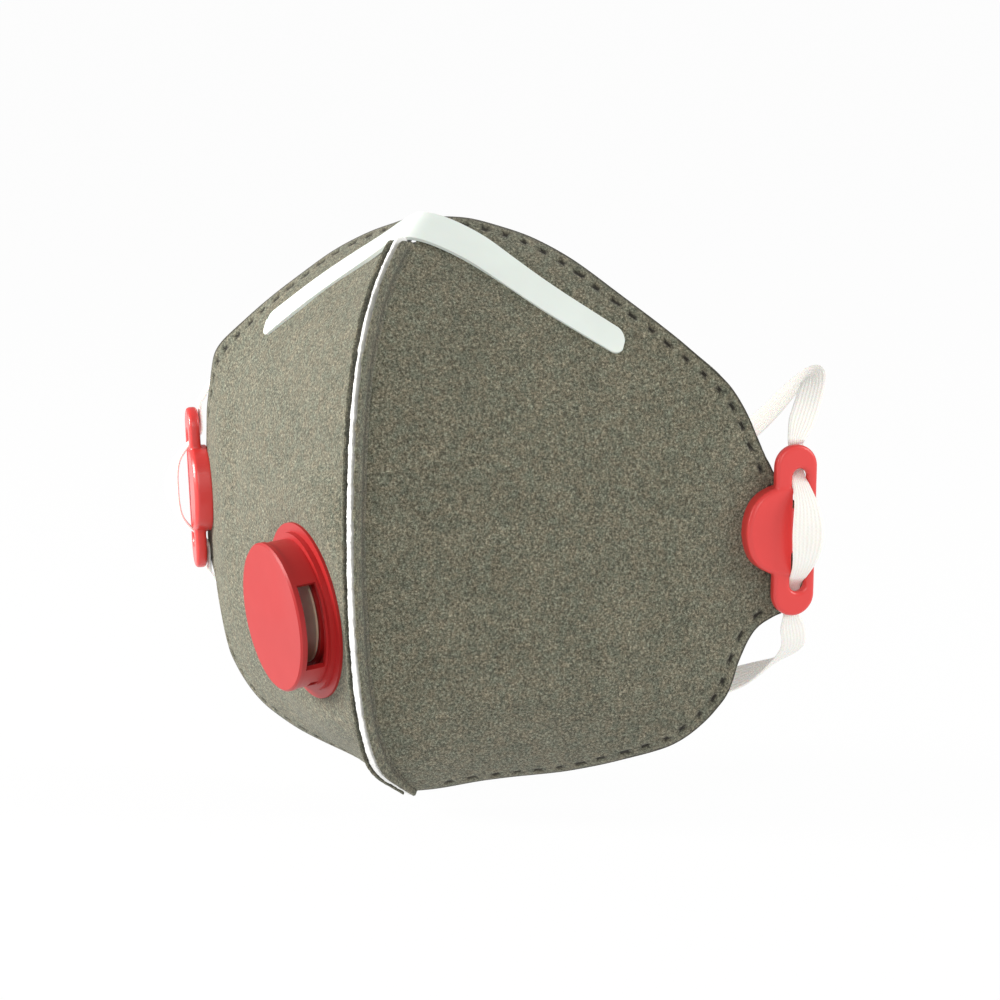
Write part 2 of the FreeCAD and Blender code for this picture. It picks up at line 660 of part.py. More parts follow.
# Steps from the buckle inwards: how far in from the ear, back and up, in millimetres.
UPPER_PATH = [(1, 9, 9), (5, 22, 15), (16, 36, 12), (32, 45, -2), (55, 50, -18), (77, 52, -27)]
LOWER_PATH = [(0.5, 7, -9), (14, 12, -16), (36, 18, -24), (59, 23, -30), (75, 25, -32.5)]


def headband(up, steps):
    """Slack elastic from one buckle round behind to the other, as runs with rounded turns."""
    first = loop_end(1, up)
    half = [first] + [Vector(first.x - across * W / 88.0, first.y + back, first.z + rise)
                      for across, back, rise in steps]
    points = half + [Vector(-p.x, p.y, p.z) for p in reversed(half)]
    radii = []
    for i in range(1, len(points) - 1):
        before, after = points[i - 1] - points[i], points[i + 1] - points[i]
        half_angle = before.getAngle(after) / 2
        radii.append(0.45 * min(before.Length, after.Length) * math.tan(half_angle))
    path = filleted_path(points, radii)
    r = size("strap_cord") / 2
    circle = Part.Wire(Part.Circle(points[0], (points[1] - points[0]).normalize(), r).toShape())
    tube = path.makePipeShell([circle], True, True)
    print("headband", round(path.Length, 1), "least radius", round(min(radii), 1),
          "volume share", round(tube.Volume / (math.pi * r * r * path.Length), 4))
    return tube


for name, up, steps in (("headband_upper", 1, UPPER_PATH), ("headband_lower", -1, LOWER_PATH)):
    add_shape(name, headband(up, steps))

doc.recompute()
NODES = ([f"{name}_{hand}" for name, _ in LAYERS for hand in ("left", "right")]
         + ["seam_weld", "nose_clip", "nose_foam", "valve_base", "valve_diaphragm", "valve_cover",
            "valve_backing_ring"]
         + [f"{name}_{hand}" for name in ("buckle", "buckle_backing", "strap_loop") for hand in ("left", "right")]
         + ["headband_upper", "headband_lower"])
for item in doc.Objects:
    if "Invalid" in item.State or "Error" in item.State:
        raise RuntimeError(item.Name + " did not build")
os.makedirs("parts", exist_ok=True)
for name in NODES:
    node = doc.getObject(name)
    node.Label = name
    shape = node.Shape
    if shape.isNull() or not shape.isValid():
        raise RuntimeError(name + " is not a valid solid")
    shape.exportStep(f"parts/{name}.step")
    print(name, len(shape.Solids), round(shape.Volume, 1))
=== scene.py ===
import math

import bpy
import numpy as np
from mathutils import Matrix, Vector


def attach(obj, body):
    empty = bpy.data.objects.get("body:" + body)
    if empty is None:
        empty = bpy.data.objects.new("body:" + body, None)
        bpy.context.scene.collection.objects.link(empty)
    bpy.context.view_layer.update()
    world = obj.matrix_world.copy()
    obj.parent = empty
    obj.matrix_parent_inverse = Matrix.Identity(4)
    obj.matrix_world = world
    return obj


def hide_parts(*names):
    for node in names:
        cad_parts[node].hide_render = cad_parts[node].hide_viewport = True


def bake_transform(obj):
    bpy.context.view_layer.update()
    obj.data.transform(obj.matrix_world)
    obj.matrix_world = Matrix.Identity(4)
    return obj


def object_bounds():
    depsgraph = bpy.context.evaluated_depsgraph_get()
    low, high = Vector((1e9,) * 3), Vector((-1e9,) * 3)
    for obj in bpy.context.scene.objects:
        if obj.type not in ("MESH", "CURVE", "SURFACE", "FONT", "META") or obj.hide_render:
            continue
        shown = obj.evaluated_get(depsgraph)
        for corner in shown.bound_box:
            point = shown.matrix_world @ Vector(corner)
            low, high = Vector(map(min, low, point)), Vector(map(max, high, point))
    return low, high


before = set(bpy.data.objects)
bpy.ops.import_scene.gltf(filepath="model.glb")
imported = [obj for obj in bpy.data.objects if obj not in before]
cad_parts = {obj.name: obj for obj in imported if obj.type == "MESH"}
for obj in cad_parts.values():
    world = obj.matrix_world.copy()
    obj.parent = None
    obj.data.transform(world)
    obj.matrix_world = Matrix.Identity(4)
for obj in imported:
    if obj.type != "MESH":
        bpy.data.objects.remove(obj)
cad_low, cad_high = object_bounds()
MM = 0.001

# ---------------------------------------------------------------- camera and light
LENS, SENSOR = 172.8, 36     # millimetres
AZIMUTH, ELEVATION, DISTANCE = math.radians(30.0), math.radians(7.0), 1.2
TARGET = Vector((0.0200, -0.0306, 0.0071))
CLIP_NEAR, CLIP_FAR = 0.05, 200

cam_data = bpy.data.cameras.new("camera")
cam_data.lens = LENS
cam_data.sensor_width = SENSOR
camera = bpy.data.objects.new("camera", cam_data)
bpy.context.scene.collection.objects.link(camera)
bpy.context.scene.camera = camera
back = Vector((math.sin(AZIMUTH) * math.cos(ELEVATION), -math.cos(AZIMUTH) * math.cos(ELEVATION),
               math.sin(ELEVATION)))
camera.location = TARGET + back * DISTANCE
camera.rotation_mode = "QUATERNION"
camera.rotation_quaternion = (-back).to_track_quat("-Z", "Y")
cam_data.clip_start, cam_data.clip_end = CLIP_NEAR, CLIP_FAR


def area_light(name, place, size, power, colour):
    data = bpy.data.lights.new(name, "AREA")
    data.size, data.energy, data.color = size, power, colour
    lamp = bpy.data.objects.new(name, data)
    lamp.location = place
    lamp.rotation_mode = "QUATERNION"
    lamp.rotation_quaternion = (TARGET - Vector(place)).to_track_quat("-Z", "Y")
    bpy.context.scene.collection.objects.link(lamp)


area_light("key", (-1.15, -0.65, 0.40), 0.5, 29.0, (1.0, 0.98, 0.95))
area_light("fill", (0.55, -1.3, 0.6), 0.9, 8.0, (1.0, 0.98, 0.95))
area_light("rim", (1.0, 0.35, 0.5), 0.6, 7.0, (1.0, 0.99, 0.97))
scene = bpy.context.scene
scene.view_settings.view_transform = "Standard"

WHITE = (1, 1, 1, 1)
ROOM_LIGHT = 0.42            # strength of the even light from all round
world = bpy.data.worlds.new("studio")
scene.world = world
world.use_nodes = True
wn, wl = world.node_tree.nodes, world.node_tree.links
wn.clear()
w_out = wn.new("ShaderNodeOutputWorld")
w_mix = wn.new("ShaderNodeMixShader")
w_path = wn.new("ShaderNodeLightPath")
w_soft, w_seen = wn.new("ShaderNodeBackground"), wn.new("ShaderNodeBackground")
w_soft.inputs[0].default_value = WHITE
w_soft.inputs[1].default_value = ROOM_LIGHT
w_seen.inputs[0].default_value = WHITE
w_seen.inputs[1].default_value = 1.0
wl.new(w_path.outputs["Is Camera Ray"], w_mix.inputs[0])
wl.new(w_soft.outputs[0], w_mix.inputs[1])
wl.new(w_seen.outputs[0], w_mix.inputs[2])
wl.new(w_mix.outputs[0], w_out.inputs[0])


# ---------------------------------------------------------------- materials
class Shader:
    """A principled material and short ways to add nodes to it."""

    def __init__(self, name):
        self.material = bpy.data.materials.new(name)
        self.material.use_nodes = True
        self.nodes, self.links = self.material.node_tree.nodes, self.material.node_tree.links
        self.bsdf = self.nodes["Principled BSDF"]

    def set(self, **values):
        for key, value in values.items():
            self.bsdf.inputs[key.replace("_", " ")].default_value = value
        return self

    def node(self, kind, **values):
        made = self.nodes.new(kind)
        for key, value in values.items():
            if hasattr(made, key):
                setattr(made, key, value)
            else:
                made.inputs[key.replace("_", " ")].default_value = value
        return made

    def link(self, source, target):
        self.links.new(source, target)

    def coords(self):
        return self.node("ShaderNodeTexCoord").outputs["Object"]

    def noise(self, scale, detail=2.0, roughness=0.5, vector=None, distortion=0.0):
        made = self.node("ShaderNodeTexNoise", Scale=scale, Detail=detail, Roughness=roughness,
                         Distortion=distortion)
        self.link(vector or self.coords(), made.inputs["Vector"])
        return made.outputs["Fac"]

    def stretched(self, x, y, z):
        made = self.node("ShaderNodeMapping")
        made.inputs["Scale"].default_value = (x, y, z)
        self.link(self.coords(), made.inputs["Vector"])
        return made.outputs["Vector"]

    def ramp(self, fac, stops):
        made = self.node("ShaderNodeValToRGB")
        while len(made.color_ramp.elements) < len(stops):
            made.color_ramp.elements.new(0.5)
        for element, (place, colour) in zip(made.color_ramp.elements, stops):
            element.position = place
            element.color = (*colour, 1)
        self.link(fac, made.inputs["Fac"])
        return made.outputs["Color"]

    def mix(self, fac, first, second, mode="MIX"):
        made = self.node("ShaderNodeMix", data_type="RGBA", blend_type=mode)
        for socket, value in ((made.inputs[0], fac), (made.inputs[6], first), (made.inputs[7], second)):
            if isinstance(value, bpy.types.NodeSocket):
                self.link(value, socket)
            elif isinstance(value, tuple):
                socket.default_value = (*value, 1)
            else:
                socket.default_value = value
        return made.outputs[2]

    def math(self, operation, first, second=0.0):
        made = self.node("ShaderNodeMath", operation=operation)
        for socket, value in ((made.inputs[0], first), (made.inputs[1], second)):
            if isinstance(value, bpy.types.NodeSocket):
                self.link(value, socket)
            else:
                socket.default_value = value
        return made.outputs[0]

    def attribute(self, name):
        return self.node("ShaderNodeAttribute", attribute_name=name).outputs["Fac"]

    def bump(self, height, distance, strength=1.0, under=None):
        made = self.node("ShaderNodeBump", Strength=strength, Distance=distance)
        self.link(height, made.inputs["Height"])
        if under is not None:
            self.link(under, made.inputs["Normal"])
        return made.outputs["Normal"]

    def finish(self, colour=None, normal=None, roughness=None):
        for value, name in ((colour, "Base Color"), (normal, "Normal"), (roughness, "Roughness")):
            if value is not None:
                self.link(value, self.bsdf.inputs[name])
        return self.material


def felt_material():
    s = Shader("grey_felt")
    s.set(Roughness=0.97, Sheen_Weight=0.15, Sheen_Roughness=0.6, Specular_IOR_Level=0.1)
    grain = s.noise(1600, 6.0, 0.82)
    specks = s.noise(2600, 3.0, 0.7)
    hue = s.noise(420, 3.0, 0.6)
    broad = s.noise(120, 4.0, 0.65)
    base = s.ramp(grain, [(0.34, (0.030, 0.029, 0.021)), (0.46, (0.110, 0.104, 0.075)),
                          (0.56, (0.235, 0.222, 0.165)), (0.68, (0.46, 0.44, 0.35))])
    base = s.mix(0.6, base, s.ramp(specks, [(0.38, (0.50, 0.50, 0.48)), (0.5, (1, 1, 1)),
                                            (0.64, (1.45, 1.43, 1.36))]), "MULTIPLY")
    tint = s.ramp(hue, [(0.36, (0.86, 0.98, 0.98)), (0.64, (1.10, 1.04, 0.98))])
    base = s.mix(0.75, base, tint, "MULTIPLY")
    patches = s.ramp(broad, [(0.32, (0.84, 0.86, 0.85)), (0.68, (1.10, 1.09, 1.08))])
    base = s.mix(0.7, base, patches, "MULTIPLY")
    # Near-black where the weld value is high: the real weld dashes along the edge, plus painted shade in the
    # seam's weld groove and a painted shade outline around the cut edge.
    base = s.mix(s.attribute("weld_marks_and_shade"), base, (0.022, 0.019, 0.014))
    height = s.math("ADD", grain, s.math("MULTIPLY", specks, 0.6))
    return s.finish(base, s.bump(height, 0.0004, 0.8))


def web_material(name, colour, dots):
    """White nonwoven: soft cloudy fibres, with a grid of small bond points when dots is given."""
    s = Shader(name)
    s.set(Roughness=0.85, Sheen_Weight=0.15, Specular_IOR_Level=0.25)
    cloud = s.noise(260, 5.0, 0.7)
    fibres = s.noise(1300, 3.0, 0.7, distortion=2.0)
    base = s.ramp(cloud, [(0.3, tuple(0.90 * c for c in colour)), (0.7, colour)])
    threads = s.ramp(fibres, [(0.35, (0.85, 0.85, 0.85)), (0.65, (1.05, 1.05, 1.05))])
    base = s.mix(0.35, base, threads, "MULTIPLY")
    normal = s.bump(fibres, 0.0002, 0.6)
    if dots:
        cell = s.node("ShaderNodeTexVoronoi", Scale=900.0, Randomness=0.15)
        s.link(s.stretched(1, 0.35, 1), cell.inputs["Vector"])
        points = s.ramp(cell.outputs["Distance"], [(0.22, (0, 0, 0)), (0.34, (1, 1, 1))])
        base = s.mix(0.22, base, points, "MULTIPLY")
        normal = s.bump(points, 0.0002, 0.5, normal)
    return s.finish(base, normal)


def plastic_material(name, colour, roughness, coat=0.0):
    s = Shader(name)
    s.set(Coat_Weight=coat, Coat_Roughness=0.12, Specular_IOR_Level=0.5, Subsurface_Weight=0.06,
          Subsurface_Scale=0.0015)
    cloud = s.noise(45, 3.0, 0.6)
    grain = s.noise(2600, 2.0, 0.5)
    smear = s.noise(16, 4.0, 0.6)
    base = s.ramp(cloud, [(0.3, tuple(0.93 * c for c in colour)), (0.7, colour)])
    rough = s.ramp(smear, [(0.3, (roughness * 0.85,) * 3), (0.7, (roughness * 1.2,) * 3)])
    return s.finish(base, s.bump(grain, 0.00004, 0.35), rough)


RIB_PITCH, ROW_PITCH = 0.00085, 0.0008      # weave of the elastic, across and along, in metres


def elastic_material():
    s = Shader("elastic")
    s.set(Roughness=0.8, Sheen_Weight=0.2, Specular_IOR_Level=0.3, Subsurface_Weight=0.1,
          Subsurface_Scale=0.001)
    along = s.node("ShaderNodeUVMap").outputs["UV"]
    split = s.node("ShaderNodeSeparateXYZ")
    s.link(along, split.inputs[0])
    ribs = s.math("SINE", s.math("MULTIPLY", split.outputs[0], math.tau / RIB_PITCH))
    rows = s.math("SINE", s.math("MULTIPLY", split.outputs[1], math.tau / ROW_PITCH))
    crossed = s.math("MULTIPLY", s.math("MULTIPLY", ribs, rows), 0.35)
    weave = s.math("ADD", crossed, s.math("MULTIPLY", ribs, 0.65))
    fuzz = s.noise(1800, 3.0, 0.6)
    base = s.ramp(s.math("ADD", s.math("MULTIPLY", weave, 0.25), 0.5),
                  [(0.2, (0.84, 0.82, 0.76)), (0.8, (0.95, 0.94, 0.90))])
    loose = s.ramp(fuzz, [(0.3, (0.85, 0.85, 0.85)), (0.7, (1.05, 1.05, 1.05))])
    base = s.mix(0.25, base, loose, "MULTIPLY")
    height = s.math("ADD", weave, s.math("MULTIPLY", fuzz, 0.5))
    return s.finish(base, s.bump(height, 0.00010, 0.5))


def foam_material():
    s = Shader("foam")
    s.set(Roughness=0.9, Specular_IOR_Level=0.2)
    cell = s.node("ShaderNodeTexVoronoi", Scale=1400.0)
    s.link(s.coords(), cell.inputs["Vector"])
    base = s.ramp(cell.outputs["Distance"], [(0.1, (0.018, 0.018, 0.02)), (0.5, (0.075, 0.075, 0.08))])
    return s.finish(base, s.bump(cell.outputs["Distance"], 0.0003, 0.8))


def silicone_material():
    s = Shader("silicone")
    s.set(Roughness=0.35, Specular_IOR_Level=0.5, Subsurface_Weight=0.3, Subsurface_Scale=0.002)
    base = s.ramp(s.noise(120, 2.0, 0.5), [(0.3, (0.50, 0.36, 0.26)), (0.7, (0.60, 0.45, 0.34))])
    return s.finish(base, s.bump(s.noise(900), 0.00005, 0.4))


FELT = felt_material()
FILTER = web_material("filter_web", (0.93, 0.93, 0.91), False)
LINING = web_material("lining_web", (0.84, 0.84, 0.81), True)
# The valve's red is the buckles' red plastic painted darker: painted shade that makes up for the key light
# falling full on the valve.
VALVE_RED_SHADED = plastic_material("valve_red_shaded", (0.40, 0.011, 0.011), 0.46)
BUCKLE_RED = plastic_material("buckle_red", (0.70, 0.044, 0.040), 0.34, 0.2)
CLIP = plastic_material("clip_plastic", (0.74, 0.80, 0.755), 0.4)
ELASTIC = elastic_material()
FOAM = foam_material()
SILICONE = silicone_material()


# ---------------------------------------------------------------- the fabric's shape, in millimetres
W, TOP, DROP, DEPTH = 88.0, 77.5, 66.8, 70.0
NOSE_DEPTH, CHIN_DEPTH, SEAM_ROOT = 36.5, 29.0, 4.0
TOP_REACH, BOTTOM_REACH = 26.3, 34.3      # edge depth gained between the middle and the side
# Stations along the half width, the same as in the part: how far the edge stands above or below the ear
# line, and how far behind the front ridge it lies, each as a share of the overall sizes.
TOP_EDGE = [(0, 1), (0.084, 0.993), (0.165, 0.968), (0.274, 0.929), (0.396, 0.865), (0.525, 0.774),
            (0.662, 0.671), (0.785, 0.568), (0.838, 0.516), (0.871, 0.465), (0.909, 0.361), (0.96, 0.173),
            (0.985, 0.115), (1.012, 0.065)]
TOP_BACK = [(0, 0), (0.05, 0.17), (0.1, 0.31), (0.165, 0.42), (0.24, 0.475), (0.328, 0.5), (0.456, 0.521),
            (0.596, 0.552), (0.724, 0.612), (0.838, 0.675), (0.909, 0.88), (1.0, 1.15), (1.08, 1.35)]
BOTTOM_EDGE = [(0, 1), (0.076, 0.986), (0.185, 0.958), (0.364, 0.928), (0.467, 0.898), (0.548, 0.868),
               (0.661, 0.82), (0.719, 0.778), (0.772, 0.719), (0.812, 0.659), (0.843, 0.595), (0.872, 0.475),
               (0.905, 0.368), (0.94, 0.32), (0.985, 0.285), (1.012, 0.24)]
BOTTOM_BACK = [(0, 0), (0.076, 0.08), (0.185, 0.27), (0.27, 0.43), (0.364, 0.55), (0.467, 0.615),
               (0.548, 0.66), (0.661, 0.765), (0.772, 0.835), (0.843, 0.885), (0.905, 0.96), (1.0, 1.2),
               (1.08, 1.35)]
RING_AT = 5.7     # pin to slot centre, along the tab
TURN, TILT = math.radians(50.0), math.radians(3.0)      # how the ear tab stands
VALVE_TURN, VALVE_TILT = math.radians(36.0), math.radians(8.0)
PIN_X, PIN_Z = W - 4.9, 1.2
VALVE_X, VALVE_Z = 23.0, -21.0
VALVE_SINK = 0.9  # how far the valve's flat patch lies behind the panel's middle line


def smooth(stations, q):
    """Cubic through the stations with slopes taken from the neighbours, straight beyond the ends."""
    a = np.array(stations, float)
    q = np.asarray(q, float)
    n = len(a) - 1
    lo, hi = np.maximum(np.arange(n + 1) - 1, 0), np.minimum(np.arange(n + 1) + 1, n)
    slope = (a[hi, 1] - a[lo, 1]) / (a[hi, 0] - a[lo, 0])
    i = np.clip(np.searchsorted(a[:, 0], q, side="right") - 1, 0, n - 1)
    step = a[i + 1, 0] - a[i, 0]
    u = np.clip((q - a[i, 0]) / step, 0, 1)
    inside = (a[i, 1] * (1 + 2 * u) * (1 - u) ** 2 + a[i + 1, 1] * u * u * (3 - 2 * u)
              + step * u * (1 - u) * (slope[i] * (1 - u) - slope[i + 1] * u))
    before = a[0, 1] + slope[0] * (q - a[0, 0])
    after = a[n, 1] + slope[n] * (q - a[n, 0])
    return np.where(q < a[0, 0], before, np.where(q > a[n, 0], after, inside))


def ramp(value, low, high):
    u = np.clip((value - low) / (high - low), 0.0, 1.0)
    return u * u * (3 - 2 * u)


def edge_height(x, upper):
    return np.where(upper, TOP * smooth(TOP_EDGE, x / W), DROP * smooth(BOTTOM_EDGE, x / W))


def edge_depth(x, upper):
    return np.where(upper, NOSE_DEPTH + TOP_REACH * smooth(TOP_BACK, x / W),
                    CHIN_DEPTH + BOTTOM_REACH * smooth(BOTTOM_BACK, x / W))


def middle_depth(x):
    q = x / W
    return SEAM_ROOT + (DEPTH - SEAM_ROOT) * (0.733 * q + 0.267 * q ** 3)


def depth(x, z, with_valve):
    """Depth of the outer surface behind the front ridge."""
    x, z = np.asarray(x, float), np.asarray(z, float)
    upper = z >= 0
    middle = middle_depth(x)
    zeta = np.abs(z / edge_height(x, upper))
    q = np.clip(x / W, 0, 1)
    share, power = np.where(upper, 0.37, 0.44), np.where(upper, 5.0, 8.0)
    power = power + (2.6 - power) * q ** 0.6
    value = middle + (edge_depth(x, upper) - middle) * (share * zeta ** 2.2 + (1 - share) * zeta ** power)
    away = np.where(z > PIN_Z, (z - PIN_Z) / 30.0, (PIN_Z - z) / 40.0)
    flat = ramp(x, PIN_X - 24.0, PIN_X - 7.5) * (1 - ramp(away, 0.42, 1.0))
    plane = (middle_depth(PIN_X) + math.tan(TURN) * (x - PIN_X)
             - math.tan(TILT) / math.cos(TURN) * (z - PIN_Z))
    value = value + (plane - value) * flat
    if with_valve:
        reach = np.hypot((x - VALVE_X) / math.cos(VALVE_TURN), z - VALVE_Z)
        held = 1.0 - ramp(reach, 23.5, 39.5)
        plane = (middle_depth(VALVE_X) + VALVE_SINK + math.tan(VALVE_TURN) * (x - VALVE_X)
                 - math.tan(VALVE_TILT) / math.cos(VALVE_TURN) * (z - VALVE_Z))
        value = value + (plane - value) * held
    return value


def surface_points(x, z, offset, side):
    """Points and outward normals on a panel, `offset` mm inside its outer face, in millimetres."""
    with_valve, e = side < 0, 0.02
    dx = (depth(x + e, z, with_valve) - depth(x - e, z, with_valve)) / (2 * e)
    dz = (depth(x, z + e, with_valve) - depth(x, z - e, with_valve)) / (2 * e)
    norm = np.sqrt(1 + dx * dx + dz * dz)
    normal = np.stack([side * dx / norm, -1 / norm, dz / norm], -1)
    base = np.stack([side * x, depth(x, z, with_valve) - DEPTH, z], -1)
    return base - normal * np.asarray(offset)[..., None], normal


def make_mesh(name, verts, faces, material, body, uvs=None):
    mesh = bpy.data.meshes.new(name)
    mesh.from_pydata([tuple(v) for v in verts], [], [tuple(int(i) for i in f) for f in faces])
    mesh.update()
    if uvs is not None:
        layer = mesh.uv_layers.new(name="UVMap")
        index = np.empty(len(mesh.loops), int)
        mesh.loops.foreach_get("vertex_index", index)
        layer.data.foreach_set("uv", np.asarray(uvs, float)[index].ravel())
    mesh.shade_smooth()
    mesh.materials.append(material)
    obj = bpy.data.objects.new(name, mesh)
    scene.collection.objects.link(obj)
    if body:
        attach(obj, body)
    return obj


def grid_faces(columns, rows, keep=None, flip=False):
    faces = []
    for i in range(columns - 1):
        for j in range(rows - 1):
            if keep is not None and not keep[i:i + 2, j:j + 2].all():
                continue
            f = (i * rows + j, (i + 1) * rows + j, (i + 1) * rows + j + 1, i * rows + j + 1)
            faces.append(f[::-1] if flip else f)
    return faces


def solidify(obj, thickness):
    mod = obj.modifiers.new("thickness", "SOLIDIFY")
    mod.thickness = thickness
    mod.offset = -1
    mod.use_even_offset = False


# ---------------------------------------------------------------- felt panels
SEAM_FACE = 1.5   # from the mid-plane to the outer face of each felt at the seam
FLANGE = 4.0      # how far the welded flanges stand out
TAB_END = W * 1.012


def frame_matrix(x, depth_at, z, turn, tilt, side):
    normal = Vector((side * math.sin(turn) * math.cos(tilt), -math.cos(turn) * math.cos(tilt),
                     -math.sin(tilt)))
    up = Vector((side * math.sin(turn) * math.sin(tilt), -math.cos(turn) * math.sin(tilt), math.cos(tilt)))
    right = up.cross(normal)
    m = Matrix((right, up, normal)).transposed().to_4x4()
    m.translation = Vector((side * x, depth_at - DEPTH, z)) * MM
    return m


VALVE_M = frame_matrix(VALVE_X, float(middle_depth(VALVE_X)) + VALVE_SINK, VALVE_Z, VALVE_TURN,
                       VALVE_TILT, -1)
BUCKLE_M = {s: frame_matrix(PIN_X, float(middle_depth(PIN_X)), PIN_Z, TURN, TILT, s) for s in (1, -1)}


def seam_normal(z):
    """Outward direction in the mid-plane at the panels' root, as (y, z) pairs."""
    e = 0.05
    dz = (depth(0 * z, z + e, False) - depth(0 * z, z - e, False)) / (2 * e)
    norm = np.sqrt(1 + dz * dz)
    return np.stack([-1 / norm, dz / norm], -1)


def flange_reach(zeta):
    return FLANGE * (0.22 + 0.78 * ramp(zeta, -1.0, -0.82)) * (1 - ramp(zeta, 0.885, 0.925))


def wander(a, b, scale, seed, octaves=3):
    """Smooth repeatable undulation over two coordinates, about -1 to 1."""
    gen = np.random.default_rng(seed)
    total, weight = 0.0, 0.0
    for k in range(octaves * 3):
        angle, phase = gen.uniform(0, math.tau, 2)
        f = (1.7 ** (k // 3)) / scale * gen.uniform(0.8, 1.2)
        fall = 1.5 ** (k // 3)
        total = total + np.sin((a * math.cos(angle) + b * math.sin(angle)) * f * math.tau + phase) / fall
        weight += 1 / fall
    return total / weight * 1.6


def edge_lines(side):
    """The perimeter as two runs of points with the length along each, in millimetres."""
    runs = []
    for sign in (1, -1):
        x = np.linspace(1.0, TAB_END, 420)
        z = sign * edge_height(x, np.full(x.shape, sign > 0)) * 0.9999
        p, _ = surface_points(x, z, np.zeros(x.shape), side)
        s = np.concatenate([[0], np.cumsum(np.linalg.norm(np.diff(p, axis=0), axis=1))])
        runs.append((p, s))
    return runs


def perimeter_distance(points, side):
    flat = points.reshape(-1, 3)
    best, along = np.full(len(flat), 1e9), np.zeros(len(flat))
    for p, s in edge_lines(side):
        for start in range(0, len(flat), 4000):
            block = flat[start:start + 4000]
            d = np.linalg.norm(block[:, None, :] - p[None], axis=2)
            k = d.argmin(1)
            v = d[np.arange(len(block)), k]
            closer = v < best[start:start + 4000]
            best[start:start + 4000] = np.where(closer, v, best[start:start + 4000])
            along[start:start + 4000] = np.where(closer, s[k], along[start:start + 4000])
    return best.reshape(points.shape[:2]), along.reshape(points.shape[:2])


def panel_grid(columns, rows, x_from):
    side_end = 0.78 * W
    broad = int(columns * 0.7)
    x = np.concatenate([np.linspace(x_from, side_end, broad, endpoint=False),
                        np.linspace(side_end, TAB_END, columns - broad)])
    v = np.linspace(-1, 1, rows)
    zeta = 0.55 * v + 0.45 * np.sin(v * math.pi / 2)
    xx, zz = np.meshgrid(x, zeta, indexing="ij")
    return xx, zz


def local(points, matrix):
    inverse = np.array(matrix.inverted())
    return points * MM @ inverse[:3, :3].T + inverse[:3, 3]


DASH_PITCH = 5.8      # spacing of the weld marks along the panel's edge
PIN_HOLE, VALVE_HOLE = 0.0019, 0.0165      # radii of the openings in the felt, in metres


def felt_panel(side, hand, columns=230, rows=330):
    xx, zeta = panel_grid(columns, rows, SEAM_FACE)
    z = zeta * edge_height(xx, zeta >= 0)
    flat, _ = surface_points(xx, z, np.zeros(xx.shape), side)
    dist, along = perimeter_distance(flat, side)
    free = ramp(dist, 3.0, 16.0)
    crease = wander(xx, z, 46.0, 11 + side) * 0.55 + wander(xx, z, 17.0, 21 + side) * 0.14
    if side < 0:
        spot = local(flat, VALVE_M)
        free = free * ramp(np.hypot(spot[..., 0], spot[..., 1]), 0.024, 0.036)
    tab = local(flat, BUCKLE_M[side])
    free = free * ramp(np.hypot(tab[..., 0], tab[..., 1]), 0.024, 0.040)
    pressed = 0.28 * (1 - ramp(dist, 0.2, 1.6))
    stray = 0.5 * wander(along, along * 0, 9.0, 41) + 0.35 * wander(xx, z, 3.0, 42)
    dash = ((1 - ramp(np.abs(dist - 2.6 - 0.3 * stray), 0.45, 1.15))
            * (1 - ramp(np.abs((along + stray) % DASH_PITCH - DASH_PITCH / 2), 0.95, 1.75)))
    dash = dash * ramp(along, 6.0, 9.0)
    offset = 0.1 - crease * free * 0.6 + pressed + dash * 0.5
    offset = np.maximum(offset, -0.45 * free)
    body, _ = surface_points(xx, z, offset, side)
    # flange columns, from the cut edge back to the panel's root
    zr, ze = z[0], zeta[0]
    n = seam_normal(zr)
    reach = flange_reach(ze)
    cut_wave = 1 + 0.05 * wander(zr, zr * 0 + side, 9.0, 14) + 0.04 * wander(zr, zr * 0, 1.8, 15)
    root = body[0]
    seam_y = depth(0 * zr, zr, False) - DEPTH
    flange, weld_marks_and_shade = [], []
    shares = np.array([1.0, 0.97, 0.9, 0.8, 0.7, 0.6, 0.5, 0.42, 0.34, 0.27, 0.2, 0.13, 0.06])
    for share in shares:
        step = reach * share * (cut_wave if share == 1.0 else 1.0)
        groove = math.exp(-((share - 0.27) / 0.13) ** 2)
        x = side * (SEAM_FACE - 0.22 * groove * np.minimum(reach / 2.0, 1.0) - (0.15 if share == 1.0 else 0.0)
                    + 0.10 * wander(zr, zr * 0 + share * 3, 12.0, 5))
        y, up = seam_y + n[:, 0] * step, zr + n[:, 1] * step
        settle = min(share / 0.5, 1.0)
        flange.append(np.stack([x, root[:, 1] + (np.minimum(y, root[:, 1]) - root[:, 1]) * settle
                                + (1 - settle) * n[:, 0] * step,
                                root[:, 2] + (up - root[:, 2]) * settle + (1 - settle) * n[:, 1] * step], -1))
        # The dark value along the weld groove is painted shade in the crease beside the flange.
        weld_marks_and_shade.append(0.55 * groove * np.minimum(reach / 2.0, 1.0))
    points = np.concatenate([np.array(flange), body])
    # Real weld dashes, plus a painted shade outline darkening the outer rim of the felt.
    weld_marks_and_shade = np.concatenate([np.array(weld_marks_and_shade), np.clip(dash * 1.1 + (1 - ramp(dist, 0.15, 0.9)) * 0.8, 0, 0.95)])
    total = points.shape[0]
    keep = np.ones(points.shape[:2], bool)
    hole = np.hypot(tab[..., 0], tab[..., 1]) < PIN_HOLE
    if side < 0:
        hole |= np.hypot(spot[..., 0], spot[..., 1]) < VALVE_HOLE
    keep[len(shares):] = ~hole
    keep[:len(shares), reach < 0.06] = False
    obj = make_mesh(f"felt_panel_{hand}", points.reshape(-1, 3) * MM, grid_faces(total, rows, keep, side > 0),
                    FELT, "mask")
    attribute = obj.data.attributes.new("weld_marks_and_shade", "FLOAT", "POINT")
    attribute.data.foreach_set("value", weld_marks_and_shade.astype(np.float32).ravel())
    solidify(obj, 0.0006)
    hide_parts(f"outer_panel_{hand}")


